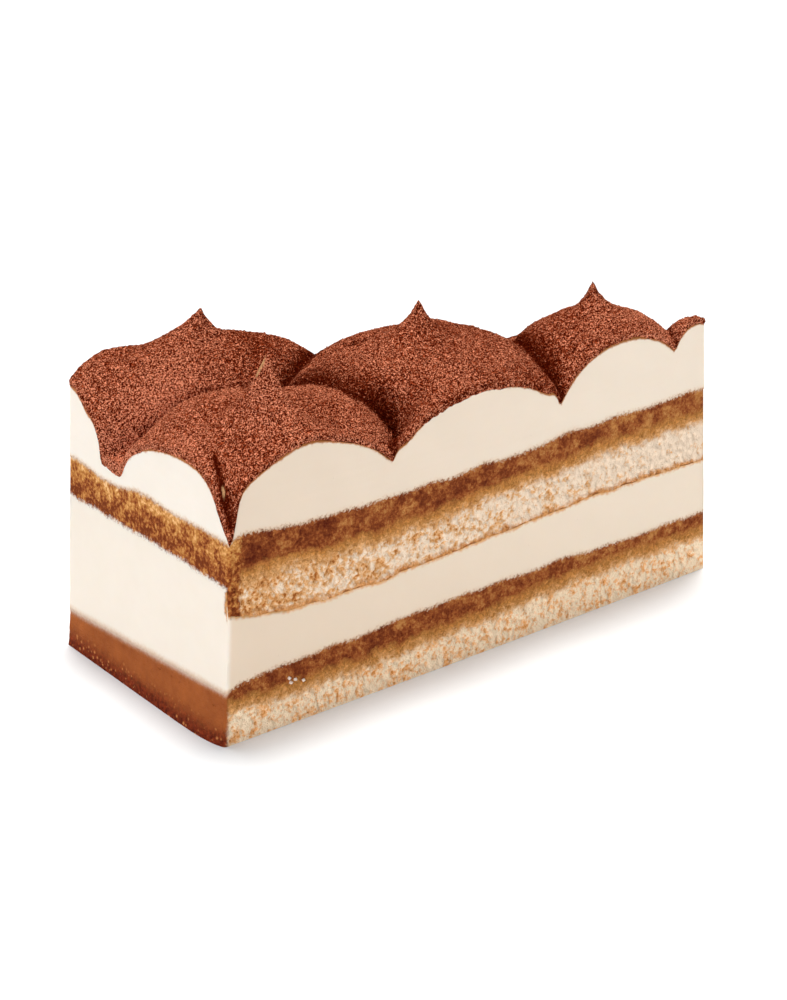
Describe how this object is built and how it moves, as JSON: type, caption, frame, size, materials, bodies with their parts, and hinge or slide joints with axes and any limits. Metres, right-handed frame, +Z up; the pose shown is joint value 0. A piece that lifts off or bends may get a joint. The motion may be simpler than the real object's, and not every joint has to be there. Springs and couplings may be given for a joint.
{
  "type": "tiramisu cake slice",
  "caption": "Bar-shaped cream cake slice: soaked sponge and cream layers under a cocoa-dusted top of piped kisses, cut flat on every side.",
  "frame": {"origin": "middle of the flat base, on the surface the slice stands on", "axes": "+X along the bar from its wide left end to its narrower right end, -Y out of its long front cut side, +Z up"},
  "size_m": [0.1112, 0.0478, 0.0636],
  "materials": {
    "sponge": "pale open crumb, dry and matte",
    "coffee_sponge": "sponge soaked with coffee, brown, slightly moist",
    "cream": "smooth set cream, soft satin cut face",
    "cocoa": "fine cocoa powder, matte and grainy"
  },
  "bodies": {
    "root": {"lower_sponge": "sponge", "lower_coffee_layer": "coffee_sponge", "middle_cream": "cream", "upper_sponge": "sponge", "upper_coffee_layer": "coffee_sponge", "top_cream": "cream", "cocoa_coat": "cocoa"}
  },
  "joints": []
}
